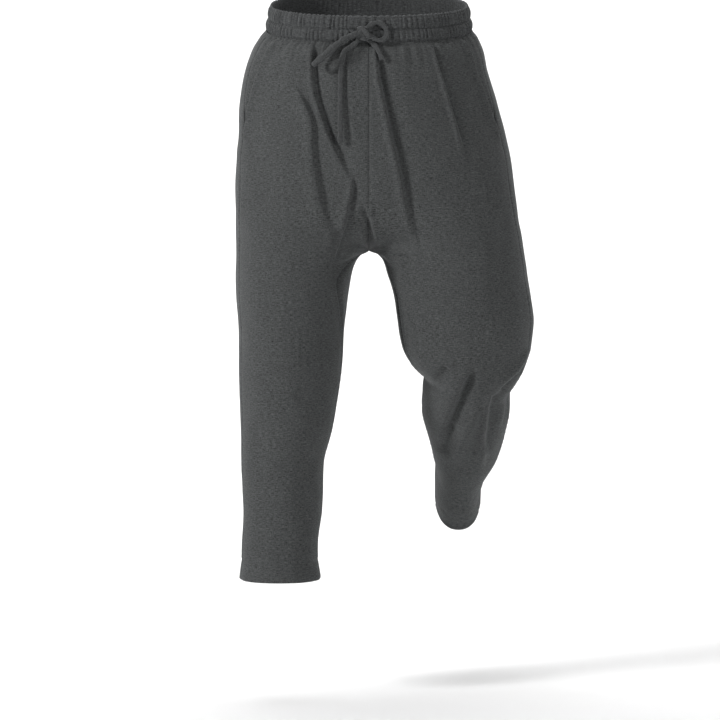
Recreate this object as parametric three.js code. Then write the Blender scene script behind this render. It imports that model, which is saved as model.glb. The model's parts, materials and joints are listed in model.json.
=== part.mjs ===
// Harem pants with an elastic waistband, front pleats, slanted pockets and a tied drawstring.
// Millimetres, +Z up. The front faces -Y and the wearer's left is +X. The origin is the centre of
// the waistband's ring. The pants keep the hollow form of a walking step: the right leg is
// forward and straight, the left one is behind with its knee bent.
import * as THREE from "three";

// Cloth
const wall = 1.6;
const seamGap = 0.34;
const hemHeight = 28;
const hemExtra = 0.7;

// Waistband
const bandHeight = 40;
const bandHalfWidth = 160;
const bandHalfDepth = 112;
const bandTaper = 5;
const bandWall = 2.6;
const bandDip = 22;
const bandGap = 0.4;
const channelBulge = 1.5;
const gatherCount = 90;
const gatherDepth = 1.0;

// Rise: the front and back rise run straight down to riseCurveZ and then curve under to crotchZ.
const riseCurveZ = -286;
const crotchZ = -372;
const sectionPower = 2.25;

// The seat grows squarer from seatTopZ down to the curve of the rise, so that it runs on smoothly into
// the two rounder legs.
const seatPower = 2.8;
const seatTopZ = -150;

// Rows and columns of the panels
const waistRows = 8;
const riseRows = 6;
const frontColumns = 25;
const backColumns = 12;
const facingColumns = 5;
const pleatEndZ = -262;
const pleatColumn = { right: 10, left: 14, spread: 3.5 };

// Pocket mouths: share of the front's width at the waist, and height where they meet the side seam.
const pocket = { share: 0.25, bottomZ: -205, overlap: 0.1, inset: 2.9, fall: 1.8 };

// Torso sections by height at the side seams: reach to the right and left leg's side, front and
// back, how far the front dips, and how far the side seams sit forward, in degrees.
const torsoSections = [
  { z: -20.3, right: 165, left: 165, front: 114, back: 114, dip: 22.4, seam: 13 },
  { z: -32, right: 174, left: 173, front: 121, back: 122, dip: 20, seam: 13 },
  { z: -56, right: 188, left: 184, front: 126, back: 128, dip: 18, seam: 14 },
  { z: -84, right: 198, left: 190, front: 129, back: 134, dip: 16, seam: 15 },
  { z: -116, right: 204, left: 199, front: 131, back: 139, dip: 14, seam: 16 },
  { z: -148, right: 208, left: 208, front: 131, back: 142, dip: 12, seam: 17 },
  { z: -192, right: 210, left: 219, front: 130, back: 142, dip: 9, seam: 18 },
  { z: -220, right: 213, left: 226, front: 128, back: 140, dip: 7, seam: 18 },
  { z: -270, right: 214, left: 233, front: 124, back: 134, dip: 4, seam: 19 },
  { z: -324, right: 214, left: 240, front: 119, back: 124, dip: 2, seam: 20 },
  { z: -372, right: 214, left: 249, front: 115, back: 115, dip: 0, seam: 21 },
];

// Leg sections: height and depth of the middle, reach out and in, half depth, tilt, and how far
// forward the side seam and the inseam sit, in degrees.
const rightLeg = [
  { z: -372, y: 0, outer: 214, inner: 0, half: 115, tilt: 0, seam: 21, inseam: 0 },
  { z: -379, y: 0, outer: 214, inner: 12, half: 115, tilt: 0, seam: 21, inseam: 12 },
  { z: -391, y: -1, outer: 214, inner: 22, half: 115, tilt: 0, seam: 21, inseam: 28 },
  { z: -426, y: -3, outer: 213.5, inner: 31, half: 114, tilt: -1, seam: 21, inseam: 42 },
  { z: -465, y: -7, outer: 212, inner: 37, half: 111, tilt: -2, seam: 21, inseam: 30 },
  { z: -500, y: -11, outer: 210, inner: 41, half: 107, tilt: -3, seam: 21, inseam: 18 },
  { z: -552, y: -17, outer: 209, inner: 43, half: 101, tilt: -3, seam: 20, inseam: 10 },
  { z: -599, y: -23, outer: 208, inner: 49, half: 94, tilt: -3, seam: 20, inseam: 8 },
  { z: -637, y: -27, outer: 207, inner: 55, half: 88, tilt: -3, seam: 19, inseam: 8 },
  { z: -687, y: -33, outer: 206, inner: 66, half: 80, tilt: -2, seam: 18, inseam: 8 },
  { z: -718, y: -37, outer: 206, inner: 73, half: 75, tilt: -2, seam: 18, inseam: 8 },
  { z: -755, y: -41, outer: 204, inner: 75, half: 71, tilt: -2, seam: 17, inseam: 8 },
  { z: -790, y: -45, outer: 202, inner: 76, half: 67, tilt: -2, seam: 17, inseam: 8 },
  { z: -850, y: -52, outer: 205, inner: 82, half: 63, tilt: -1, seam: 17, inseam: 8 },
  { z: -874, y: -55, outer: 205, inner: 83, half: 62, tilt: -1, seam: 17, inseam: 8 },
  { z: -899, y: -57, outer: 207, inner: 80, half: 63, tilt: 0, seam: 17, inseam: 8 },
];
const leftLeg = [
  { z: -372, y: 0, outer: 249, inner: 0, half: 115, tilt: 0, seam: 21, inseam: 0 },
  { z: -379, y: 0, outer: 250, inner: 14, half: 115, tilt: 0, seam: 21, inseam: 8 },
  { z: -391, y: 1, outer: 253, inner: 25, half: 115, tilt: 0, seam: 21, inseam: 14 },
  { z: -410, y: 2, outer: 255, inner: 29, half: 114, tilt: 1, seam: 22, inseam: 20 },
  { z: -447, y: 4, outer: 261, inner: 40, half: 111, tilt: 2, seam: 22, inseam: 22 },
  { z: -489, y: 8, outer: 267, inner: 47, half: 106, tilt: 5, seam: 22, inseam: 22 },
  { z: -528, y: 14, outer: 264, inner: 55, half: 102, tilt: 9, seam: 21, inseam: 20 },
  { z: -548, y: 19, outer: 258, inner: 64, half: 99, tilt: 12, seam: 20, inseam: 18 },
  { z: -565, y: 26, outer: 251, inner: 80, half: 97, tilt: 15, seam: 20, inseam: 14 },
  { z: -577, y: 32, outer: 243, inner: 91, half: 95, tilt: 18, seam: 20, inseam: 10 },
  { z: -600, y: 46, outer: 230, inner: 88, half: 92, tilt: 23, seam: 20, inseam: 8 },
  { z: -628, y: 66, outer: 232, inner: 87, half: 89, tilt: 28, seam: 20, inseam: 8 },
  { z: -664, y: 94, outer: 225, inner: 95, half: 86, tilt: 32, seam: 20, inseam: 8 },
  { z: -700, y: 122, outer: 214, inner: 104, half: 83, tilt: 35, seam: 20, inseam: 8 },
  { z: -738, y: 150, outer: 195, inner: 112, half: 80, tilt: 36, seam: 20, inseam: 8 },
  { z: -772, y: 175, outer: 187, inner: 112, half: 78, tilt: 37, seam: 20, inseam: 8 },
  { z: -798, y: 195, outer: 186, inner: 112, half: 77, tilt: 37, seam: 20, inseam: 8 },
];

// Folds as seen from the front or from behind: where each starts, bends and ends in x and z, how
// far it stands out (or in, below 0), its half width, and how much steeper its outer side is.
const frontFolds = [
  { name: "left pleat", way: [[108, -46], [122, -98], [137, -144], [157, -213], [169, -254]],
    depth: -3.2, width: 15, steep: 0.75 },
  { name: "right pleat", way: [[-87, -42], [-90, -88], [-84, -131], [-62, -199], [-26, -266]],
    depth: -4.6, width: 18, steep: 0.6 },
  { name: "right pleat turning back", way: [[-26, -266], [-29, -293], [-36, -329], [-37, -350]],
    depth: -3.5, width: 15, steep: 0.3 },
  { name: "drag line beside the fly", way: [[16, -68], [27, -131], [41, -206], [60, -285], [66, -322]],
    depth: -3.4, width: 17, steep: -0.3 },
  { name: "right thigh drag", way: [[-99, -150], [-89, -230], [-74, -300], [-55, -348], [-62, -398]],
    depth: -3.2, width: 18, steep: 0.2 },
  { name: "above the crotch", way: [[2, -325], [8, -366]],
    depth: -2.5, width: 11, steep: 0 },
  { name: "left shin ridge", way: [[190, -612], [184, -677], [180, -752]],
    depth: 4.5, width: 17, steep: 0.3 },
  { name: "left shin trough", way: [[150, -590], [135, -640], [116, -692], [116, -742]],
    depth: -4.5, width: 18, steep: 0 },
  { name: "left shin drag", way: [[160, -660], [141, -714], [128, -745]],
    depth: 3.2, width: 14, steep: 0 },
  { name: "left knee break", way: [[262, -545], [243, -568], [214, -592], [204, -606]],
    depth: -6.5, width: 15, steep: 0.4 },
  { name: "right knee drag", way: [[-60, -500], [-96, -556], [-120, -640]],
    depth: -2.2, width: 22, steep: 0 },
];
const backFolds = [
  { name: "right seat drag", way: [[-20, -300], [-70, -340], [-130, -372], [-185, -380]],
    depth: -4.5, width: 20, steep: 0.3 },
  { name: "left seat drag", way: [[22, -300], [78, -345], [150, -385], [215, -398]],
    depth: -5.0, width: 20, steep: 0.3 },
  { name: "right thigh drag", way: [[-40, -420], [-90, -470], [-150, -520]],
    depth: -3.4, width: 19, steep: 0 },
  { name: "left thigh drag", way: [[60, -430], [120, -478], [200, -505]],
    depth: -4.0, width: 19, steep: 0 },
  { name: "left knee bend, upper", way: [[70, -520], [130, -540], [235, -528]],
    depth: -5.5, width: 15, steep: 0.3 },
  { name: "left knee bend, lower", way: [[95, -566], [160, -580], [222, -566]],
    depth: -5.0, width: 14, steep: 0.3 },
  { name: "right knee, behind", way: [[-60, -560], [-120, -590], [-190, -580]],
    depth: -3.2, width: 17, steep: 0.2 },
  { name: "centre seat", way: [[-6, -120], [-14, -190], [-8, -260]],
    depth: -2.6, width: 19, steep: 0 },
  { name: "left waist drag", way: [[70, -50], [92, -120], [86, -190]],
    depth: -2.8, width: 18, steep: 0 },
  { name: "right waist drag", way: [[-62, -50], [-80, -110], [-98, -170]],
    depth: -2.6, width: 17, steep: 0 },
];

// Drawstring: routes of the bow, from the knot outwards.
const cordRadius = 3.0;
const knot = { x: -9.5, y: -123.6, z: -29, half: [8, 6.6, 7] };

const radians = THREE.MathUtils.degToRad;
const clamp = THREE.MathUtils.clamp;
const lerp = THREE.MathUtils.lerp;
const smooth = (t) => THREE.MathUtils.smoothstep(t, 0, 1);
const power = (x, p) => Math.sign(x) * Math.abs(x) ** p;

// One column of a table at height z, on a smooth curve through its rows.
function along(table, z, column) {
  let i = 0;
  while (i < table.length - 2 && z < table[i + 1].z) i += 1;
  const rows = [i - 1, i, i + 1, i + 2].map((k) => table[clamp(k, 0, table.length - 1)]);
  const span = rows[2].z - rows[1].z;
  const t = clamp((z - rows[1].z) / span, 0, 1);
  const slope = (a, b) => (a.z === b.z ? 0 : (b[column] - a[column]) / (b.z - a.z));
  const middle = slope(rows[1], rows[2]);
  const ends = [slope(rows[0], rows[1]), slope(rows[2], rows[3])];
  const [m0, m1] = ends.map((m) => (m * middle <= 0 ? 0 : (2 * m * middle) / (m + middle)));
  const t2 = t * t;
  const t3 = t2 * t;
  return (2 * t3 - 3 * t2 + 1) * rows[1][column] + (t3 - 2 * t2 + t) * span * m0
    + (3 * t2 - 2 * t3) * rows[2][column] + (t3 - t2) * span * m1;
}

// A point of the torso's half on one side. s is -1 at centre front, 0 at the side seam, 1 at centre
// back. As turn goes from 0 to 90 degrees, the half closes from a D into the leg's own ring.
function torsoPoint(side, s, z, turn = 0) {
  const get = (column) => along(torsoSections, z, column);
  const seam = get("seam");
  const end = 90 + turn;
  const angle = radians(s < 0 ? seam - s * (end - seam) : seam - s * (end + seam));
  const outer = get(side < 0 ? "right" : "left");
  const straight = (1 - turn / 90) ** 2;
  const square = lerp(sectionPower, seatPower, smooth((seatTopZ - z) / (seatTopZ - riseCurveZ)) * straight);
  const shift = power(Math.max(-Math.cos(radians(end)), 0), 2 / square);
  const across = outer / (1 + shift);
  const deep = get(angle > 0 ? "front" : "back");
  const y = -deep * power(Math.sin(angle), 2 / square);
  const x = s * s === 1 ? 0 : across * (shift + power(Math.cos(angle), 2 / square));
  return new THREE.Vector3(side * x, y, z + (get("dip") * y) / deep);
}

// A point of a leg's ring. s is -1 and 1 at the inseam and 0 at the side seam.
function legPoint(side, s, z) {
  const get = (column) => along(side < 0 ? rightLeg : leftLeg, z, column);
  const seam = get("seam");
  const inseam = get("inseam");
  const turn = s < 0 ? 180 - inseam - seam : 180 + inseam + seam;
  const angle = radians(seam - s * turn);
  const outer = get("outer");
  const inner = get("inner");
  const depth = -get("half") * power(Math.sin(angle), 2 / sectionPower);
  const x = (outer + inner) / 2 + ((outer - inner) / 2) * power(Math.cos(angle), 2 / sectionPower);
  const tilt = radians(get("tilt"));
  return new THREE.Vector3(side * x, get("y") + depth * Math.cos(tilt), z + depth * Math.sin(tilt));
}

// The plain surface. v runs from 0 at the waist seam to 1 at the start of the rise's curve, 2 at
// the crotch and 3 at the hem.
function plainPoint(side, s, v) {
  if (v >= 2) {
    const table = side < 0 ? rightLeg : leftLeg;
    return legPoint(side, s, lerp(crotchZ, table[table.length - 1].z, v - 2));
  }
  if (v <= 1) return torsoPoint(side, s, lerp(torsoSections[0].z, riseCurveZ, v));
  const turn = 90 * smooth(v - 1);
  const z = lerp(riseCurveZ, crotchZ, lerp(v - 1, Math.sin(radians(turn)), s * s));
  return torsoPoint(side, s, z, turn);
}

// How far the folds of one face move a point.
function foldDepth(folds, x, z) {
  let total = 0;
  for (const fold of folds) {
    let best = Infinity;
    let share = 0;
    let offside = 0;
    for (let i = 0; i + 1 < fold.way.length; i += 1) {
      const [ax, az] = fold.way[i];
      const [bx, bz] = fold.way[i + 1];
      const dx = bx - ax;
      const dz = bz - az;
      const t = clamp(((x - ax) * dx + (z - az) * dz) / (dx * dx + dz * dz), 0, 1);
      const away = Math.hypot(x - ax - dx * t, z - az - dz * t);
      if (away < best) {
        best = away;
        share = (i + t) / (fold.way.length - 1);
        offside = (x - ax) * dz - (z - az) * dx;
      }
    }
    const outward = offside * Math.sign(x) < 0 ? 1 : -1;
    const width = fold.width * (1 - fold.steep * outward * 0.6);
    const ends = Math.sin(Math.PI * clamp(0.08 + 0.84 * share, 0, 1)) ** 0.6;
    const near = best / width;
    if (near < 1) total += fold.depth * ends * (1 - near * near) ** 2;
  }
  return total;
}

// The surface with its folds.
function clothPoint(side, s, v) {
  const point = plainPoint(side, s, v);
  const step = 1e-3;
  const ahead = Math.min(s + step, 1);
  const lower = Math.min(v + step, 3);
  const across = plainPoint(side, ahead, v).sub(plainPoint(side, ahead - step, v));
  const down = plainPoint(side, s, lower).sub(plainPoint(side, s, lower - step));
  const normal = down.cross(across).multiplyScalar(side).normalize();
  const facing = clamp(Math.abs(normal.y) * 1.6, 0, 1);
  const folds = normal.y < 0 ? frontFolds : backFolds;
  const depth = foldDepth(folds, point.x, point.z) * facing;
  if (Math.abs(s) === 1 && v <= 2) normal.x = 0;
  return point.addScaledVector(normal, depth * smooth(v / 0.08));
}

// The whole cloth on one fine grid for each side, with the normals joined across the seams.
const gridRows = 96;
const gridColumns = 72;
const grids = new Map([-1, 1].map((side) => {
  const at = (i, j) => clothPoint(side, (2 * j) / gridColumns - 1, (3 * i) / gridRows);
  const points = Array.from({ length: gridRows + 1 }, (_, i) =>
    Array.from({ length: gridColumns + 1 }, (_, j) => at(i, j)));
  const normals = points.map((row, i) => row.map((_, j) => {
    const up = points[Math.max(i - 1, 0)][j];
    const down = points[Math.min(i + 1, gridRows)][j];
    const before = points[i][Math.max(j - 1, 0)];
    const after = points[i][Math.min(j + 1, gridColumns)];
    return down.clone().sub(up).cross(after.clone().sub(before)).multiplyScalar(side).normalize();
  }));
  return [side, normals];
}));
const crotchRow = (2 * gridRows) / 3;
for (let i = 0; i <= gridRows; i += 1) {
  const [one, other] = [grids.get(-1)[i], grids.get(1)[i]];
  const last = gridColumns;
  const groups = i < crotchRow ? [[one[0], other[0]], [one[last], other[last]]]
    : i > crotchRow ? [[one[0], one[last]], [other[0], other[last]]]
      : [[one[0], other[0], one[last], other[last]]];
  for (const group of groups) {
    const sum = group.reduce((a, b) => a.add(b), new THREE.Vector3()).normalize();
    group.forEach((normal) => normal.copy(sum));
  }
}

function clothNormal(side, s, v) {
  const normals = grids.get(side);
  const row = clamp((v / 3) * gridRows, 0, gridRows);
  const column = clamp(((s + 1) / 2) * gridColumns, 0, gridColumns);
  const i = Math.min(Math.floor(row), gridRows - 1);
  const j = Math.min(Math.floor(column), gridColumns - 1);
  const top = normals[i][j].clone().lerp(normals[i][j + 1], column - j);
  const bottom = normals[i + 1][j].clone().lerp(normals[i + 1][j + 1], column - j);
  return top.lerp(bottom, row - i).normalize();
}

// A closed wall from a grid of outer and inner points.
function wallGeometry(outer, inner, closed) {
  const rows = outer.length;
  const columns = outer[0].length;
  const positions = [...outer.flat(), ...inner.flat()].flatMap((p) => [p.x, p.y, p.z]);
  const index = [];
  const at = (layer, i, j) => layer * rows * columns + i * columns + (j % columns);
  const quad = (a, b, c, d) => index.push(a, b, c, a, c, d);
  const steps = closed ? columns : columns - 1;
  for (let j = 0; j < steps; j += 1) {
    for (let i = 0; i + 1 < rows; i += 1) {
      quad(at(0, i, j), at(0, i + 1, j), at(0, i + 1, j + 1), at(0, i, j + 1));
      quad(at(1, i, j), at(1, i, j + 1), at(1, i + 1, j + 1), at(1, i + 1, j));
    }
    quad(at(0, 0, j), at(0, 0, j + 1), at(1, 0, j + 1), at(1, 0, j));
    quad(at(0, rows - 1, j), at(1, rows - 1, j), at(1, rows - 1, j + 1), at(0, rows - 1, j + 1));
  }
  if (!closed) {
    for (let i = 0; i + 1 < rows; i += 1) {
      quad(at(0, i, 0), at(1, i, 0), at(1, i + 1, 0), at(0, i + 1, 0));
      const j = columns - 1;
      quad(at(0, i, j), at(0, i + 1, j), at(1, i + 1, j), at(1, i, j));
    }
  }
  const geometry = new THREE.BufferGeometry();
  geometry.setAttribute("position", new THREE.Float32BufferAttribute(positions, 3));
  geometry.setIndex(index);
  geometry.computeVertexNormals();
  return geometry;
}

// Rows of v for one side: even down the torso, finer at the rise's curve and just below the crotch.
const legSteps = [6, 16, 30, 50, 80, 112, 142, 166, 186, 204, 226, 254, 286, 322, 360, 400, 440, 474];
function rowValues(side) {
  const table = side < 0 ? rightLeg : leftLeg;
  const legHeight = crotchZ - table[table.length - 1].z;
  const hemShare = (hemHeight * Math.cos(radians(table[table.length - 1].tilt))) / legHeight;
  const rows = [];
  for (let i = 0; i < waistRows; i += 1) rows.push((i / waistRows) ** 1.25);
  for (let i = 0; i <= riseRows; i += 1) rows.push(1 + i / riseRows);
  const legRows = legSteps.map((step) => step / legHeight).filter((t) => t < 1 - hemShare - 0.02);
  rows.push(...legRows.map((t) => 2 + t));
  rows.push(3 - hemShare - 0.006, 3 - hemShare + 0.006, 3);
  return { rows, hemStart: 3 - hemShare };
}

// Where the front's outer edge lies: on the pocket mouth above the pocket's end, then the side seam.
function frontEdge(side, v) {
  const z = plainPoint(side, 0, v).z;
  const share = clamp((z - pocket.bottomZ) / (torsoSections[0].z - pocket.bottomZ), 0, 1);
  return -pocket.share * share ** 0.8;
}

// Where along the front its pleat lies. Below the pleat's end the line runs straight on down.
function pleatAt(side, v) {
  const { way } = frontFolds.find((fold) => fold.name === (side < 0 ? "right pleat" : "left pleat"));
  let [low, high] = [-0.97, frontEdge(side, v) - 0.08];
  for (let i = 0; i < 20; i += 1) {
    const s = (low + high) / 2;
    const { x, z } = plainPoint(side, s, v);
    const k = clamp(way.findIndex((p) => p[1] < z), 1, way.length - 1);
    const share = clamp((z - way[k - 1][1]) / (way[k][1] - way[k - 1][1]), 0, 1);
    const lineX = lerp(way[k - 1][0], way[k][0], share);
    if (side * x < side * lineX) low = s;
    else high = s;
  }
  return (low + high) / 2;
}

// Column places along the front: even on both sides of the pleat, and close beside it.
function frontPlaces(side, endOfPleat) {
  return (v) => {
    const edge = frontEdge(side, v);
    const pleat = pleatAt(side, Math.min(v, endOfPleat));
    const before = pleatColumn[side < 0 ? "right" : "left"];
    const step = 0.01;
    const stretch = plainPoint(side, pleat, v).distanceTo(plainPoint(side, pleat - step, v)) / step;
    const beside = pleatColumn.spread / stretch;
    const places = [];
    for (let j = 0; j < before; j += 1) places.push(lerp(-1, pleat - beside, j / (before - 1)));
    places.push(pleat);
    const after = frontColumns - before;
    for (let j = 0; j < after; j += 1) places.push(lerp(pleat + beside, edge, j / (after - 1)));
    return places;
  };
}

const evenPlaces = (from, to, count) =>
  Array.from({ length: count + 1 }, (_, j) => lerp(from, to, j / count));

// A panel's wall through its rows and columns, with its side edges set in for the seams.
function panelGeometry(side, rows, hemStart, placesAt, offset = () => 0) {
  const outer = [];
  const inner = [];
  rows.forEach((v, i) => {
    const places = placesAt(v);
    const last = places.length - 1;
    const outerRow = [];
    const innerRow = [];
    places.forEach((s, j) => {
      const point = clothPoint(side, s, v);
      const normal = clothNormal(side, s, v);
      if (j === 0 || j === last) {
        const inward = clothPoint(side, s + (j === 0 ? 0.01 : -0.01), v).sub(point);
        inward.addScaledVector(normal, -inward.dot(normal));
        point.addScaledVector(inward.normalize(), seamGap / 2);
      }
      const hem = v > hemStart ? hemExtra : 0;
      const shift = offset(s, v);
      outerRow.push(point.clone().addScaledVector(normal, wall / 2 + hem / 2 + shift));
      innerRow.push(point.clone().addScaledVector(normal, -wall / 2 - hem + shift));
    });
    if (i === 0) [...outerRow, ...innerRow].forEach((p) => (p.z -= bandGap));
    outer.push(side < 0 ? outerRow.reverse() : outerRow);
    inner.push(side < 0 ? innerRow.reverse() : innerRow);
  });
  return wallGeometry(outer, inner, false);
}

const fabric = new THREE.MeshStandardMaterial({ color: 0x474a4b, roughness: 0.92, metalness: 0 });
const pants = new THREE.Group();
function addPiece(name, geometry) {
  const mesh = new THREE.Mesh(geometry, fabric.clone());
  mesh.name = name;
  pants.add(mesh);
}

// Front and back panels
for (const [name, side] of [["right", -1], ["left", 1]]) {
  const { rows, hemStart } = rowValues(side);
  const endOfPleat = rows.findLast((v) => v <= 1 && plainPoint(side, -0.5, v).z > pleatEndZ);
  addPiece(`front_${name}`, panelGeometry(side, rows, hemStart, frontPlaces(side, endOfPleat)));
  addPiece(`back_${name}`, panelGeometry(side, rows, hemStart, () => evenPlaces(0, 1, backColumns)));

  // Pocket facing: level with the back at the side seam, and under the front at the mouth.
  const endV = rows.filter((v) => plainPoint(side, 0, v).z > pocket.bottomZ - 12).at(-1);
  const facingRows = rows.filter((v) => v <= endV);
  const sunk = (s, v) => {
    const edge = frontEdge(side, v);
    const across = edge < -0.02 ? smooth(clamp((s / edge) * 1.12, 0, 1)) : 1;
    const beyond = smooth((edge - s) / pocket.overlap);
    return -pocket.inset * Math.max(across, smooth((v / endV - 0.55) / 0.3)) - pocket.fall * beyond;
  };
  const facingPlaces = (v) => evenPlaces(frontEdge(side, v) - pocket.overlap, -0.004, facingColumns);
  addPiece(`pocket_facing_${name}`, panelGeometry(side, facingRows, 3, facingPlaces, sunk));
}

// Waistband: a plain inner ring and two padded channels with gathers outside.
const bandLevels = [
  { share: 0, out: -0.2, wave: 0.3 },
  { share: 0.24, out: 1, wave: 1 },
  { share: 0.5, out: 0, wave: 0.35 },
  { share: 0.76, out: 1, wave: 1 },
  { share: 1, out: 0, wave: 0.5 },
];
function bandPoint(angle, share, out) {
  const grow = bandTaper * (1 - smooth(share));
  const x = (bandHalfWidth - bandTaper / 2 + grow) * power(Math.cos(angle), 2 / sectionPower);
  const y = (bandHalfDepth - bandTaper / 2 + grow) * power(Math.sin(angle), 2 / sectionPower);
  const normal = new THREE.Vector3(x / bandHalfWidth ** 2, y / bandHalfDepth ** 2, 0).normalize();
  const z = bandHeight * (share - 0.5) + (bandDip * y) / bandHalfDepth;
  return new THREE.Vector3(x, y, z).addScaledVector(normal, out);
}
const bandColumns = 2 * gatherCount;
const bandOuter = [];
for (const level of [...bandLevels].reverse()) {
  bandOuter.push(Array.from({ length: bandColumns }, (_, j) => {
    const wave = j % 2 ? -1 : 1;
    const out = bandWall / 2 + level.out * channelBulge + level.wave * wave * gatherDepth;
    return bandPoint((2 * Math.PI * j) / bandColumns, level.share, out);
  }));
}
const bandInner = [1, 0.75, 0.5, 0.25, 0].map((share) =>
  Array.from({ length: bandColumns }, (_, j) =>
    bandPoint((2 * Math.PI * j) / bandColumns, share, -bandWall / 2)));
addPiece("waistband", wallGeometry(bandOuter, bandInner, true));

// Drawstring
const knotShape = new THREE.SphereGeometry(1, 12, 8);
knotShape.scale(...knot.half);
knotShape.translate(knot.x, knot.y, knot.z);
addPiece("drawstring_knot", knotShape);
const cordSection = new THREE.Shape();
for (let i = 0; i < 8; i += 1) {
  const angle = (Math.PI * (i + 0.5)) / 4;
  const corner = [cordRadius * Math.cos(angle), cordRadius * Math.sin(angle)];
  if (i === 0) cordSection.moveTo(...corner);
  else cordSection.lineTo(...corner);
}
cordSection.closePath();
const cords = {
  drawstring_tail_long: [[-15.6, -122, -36.4], [-20.5, -120.2, -42], [-28.5, -121.2, -48.6],
    [-37.5, -125.6, -54.5], [-42, -127.9, -64], [-44, -129.3, -75], [-44.8, -130.4, -87],
    [-45.3, -131.6, -103], [-45.6, -132.5, -120], [-45.6, -133, -136], [-45.7, -133.1, -151],
    [-45.8, -133, -168], [-46, -132.7, -184], [-46, -132.2, -200]],
  drawstring_tail_short: [[-3.8, -121.6, -36.2], [2.6, -120.6, -41], [9.3, -121.8, -47.5],
    [14.5, -126, -55.5], [17.8, -128.5, -62.5], [20, -129.7, -70]],
  drawstring_loop_left: [[-18, -121.4, -29.8], [-33, -120, -35.6], [-48, -120.8, -44.6],
    [-60, -124.6, -56], [-71, -126.4, -65.5], [-80, -127.4, -72.5], [-86, -131, -76.6],
    [-87.5, -137, -77], [-84.5, -142.6, -73.6], [-76, -144.8, -66], [-62, -142.8, -53.5],
    [-48, -138.8, -42.5], [-34, -133.6, -33.5], [-17.4, -128.2, -27.6]],
  drawstring_loop_right: [[-4.8, -120.9, -21.4], [2, -118.2, -14.8], [10, -116.9, -11.2],
    [18, -116.9, -12.5], [25, -117.7, -18.5], [27.6, -119.6, -27], [25.4, -122.4, -34],
    [19.6, -125.2, -38.6], [12.4, -126.6, -38.4], [6, -127.2, -35], [-0.4, -126.9, -30.6]],
};
for (const [name, points] of Object.entries(cords)) {
  const path = new THREE.CatmullRomCurve3(points.map((p) => new THREE.Vector3(...p)));
  const steps = Math.max(6, Math.round(path.getLength() / 11));
  const options = { steps, bevelEnabled: false, extrudePath: path };
  addPiece(name, new THREE.ExtrudeGeometry(cordSection, options));
}

export default pants;
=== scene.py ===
import json
import math

import bpy
import numpy as np
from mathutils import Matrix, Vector

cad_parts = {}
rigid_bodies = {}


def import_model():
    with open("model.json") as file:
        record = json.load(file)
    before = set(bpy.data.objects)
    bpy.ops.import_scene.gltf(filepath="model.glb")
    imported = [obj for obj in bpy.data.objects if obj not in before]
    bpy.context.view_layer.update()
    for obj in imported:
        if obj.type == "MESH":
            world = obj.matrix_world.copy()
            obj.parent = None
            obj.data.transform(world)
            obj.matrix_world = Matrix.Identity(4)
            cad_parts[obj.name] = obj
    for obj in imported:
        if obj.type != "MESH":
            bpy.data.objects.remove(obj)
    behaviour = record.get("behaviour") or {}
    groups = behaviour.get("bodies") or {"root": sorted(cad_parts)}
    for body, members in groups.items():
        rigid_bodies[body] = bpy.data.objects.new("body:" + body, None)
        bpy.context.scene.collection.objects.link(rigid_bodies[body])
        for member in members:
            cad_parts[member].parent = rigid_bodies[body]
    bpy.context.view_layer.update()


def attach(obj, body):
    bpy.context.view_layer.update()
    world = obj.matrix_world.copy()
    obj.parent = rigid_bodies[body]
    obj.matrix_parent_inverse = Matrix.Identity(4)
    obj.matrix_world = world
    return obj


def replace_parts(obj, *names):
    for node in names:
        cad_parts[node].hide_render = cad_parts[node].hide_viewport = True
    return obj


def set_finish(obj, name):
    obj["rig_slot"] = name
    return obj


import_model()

mm = 0.001

# The camera comes first, because it needs nothing that is made below
cameraSetup = {
    "target": (-0.0146, 0.0, -0.552),
    "distance": 5.5,
    "elevation": 4.2,
    "width": 1.1664,      # how much shows across at the target
    "sensor": 36,
    "farClip": 50,
}


def addObject(name, data):
    made = bpy.data.objects.new(name, data)
    bpy.context.scene.collection.objects.link(made)
    return made


def addCamera(setup):
    camera = addObject("camera", bpy.data.cameras.new("camera"))
    lift = math.radians(setup["elevation"])
    away = Vector((0, -math.cos(lift), math.sin(lift))) * setup["distance"]
    camera.location = Vector(setup["target"]) + away
    camera.rotation_euler = (math.pi / 2 - lift, 0, 0)
    camera.data.sensor_width = setup["sensor"]
    camera.data.lens = setup["sensor"] * setup["distance"] / setup["width"]
    camera.data.clip_end = setup["farClip"]
    bpy.context.scene.camera = camera


addCamera(cameraSetup)
print("camera set")

# The form: torso and leg sections, by height. Right, left, outer and inner are distances from the middle,
# half is half the depth, and dip is how far the front lies below z. Tilt, seam and inseam are in degrees.
torsoColumns = ("z", "right", "left", "front", "back", "dip", "seam")
torsoSections = [dict(zip(torsoColumns, row)) for row in (
    (-20.3, 165, 165, 114, 114, 22.4, 13),
    (-32, 174, 173, 121, 122, 20, 13),
    (-56, 188, 184, 126, 128, 18, 14),
    (-84, 198, 190, 129, 134, 16, 15),
    (-116, 204, 199, 131, 139, 14, 16),
    (-148, 208, 208, 131, 142, 12, 17),
    (-192, 210, 219, 130, 142, 9, 18),
    (-220, 213, 226, 128, 140, 7, 18),
    (-270, 214, 233, 124, 134, 4, 19),
    (-324, 214, 240, 119, 124, 2, 20),
    (-372, 214, 249, 115, 115, 0, 21),
)]
legColumns = ("z", "y", "outer", "inner", "half", "tilt", "seam", "inseam")
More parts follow.
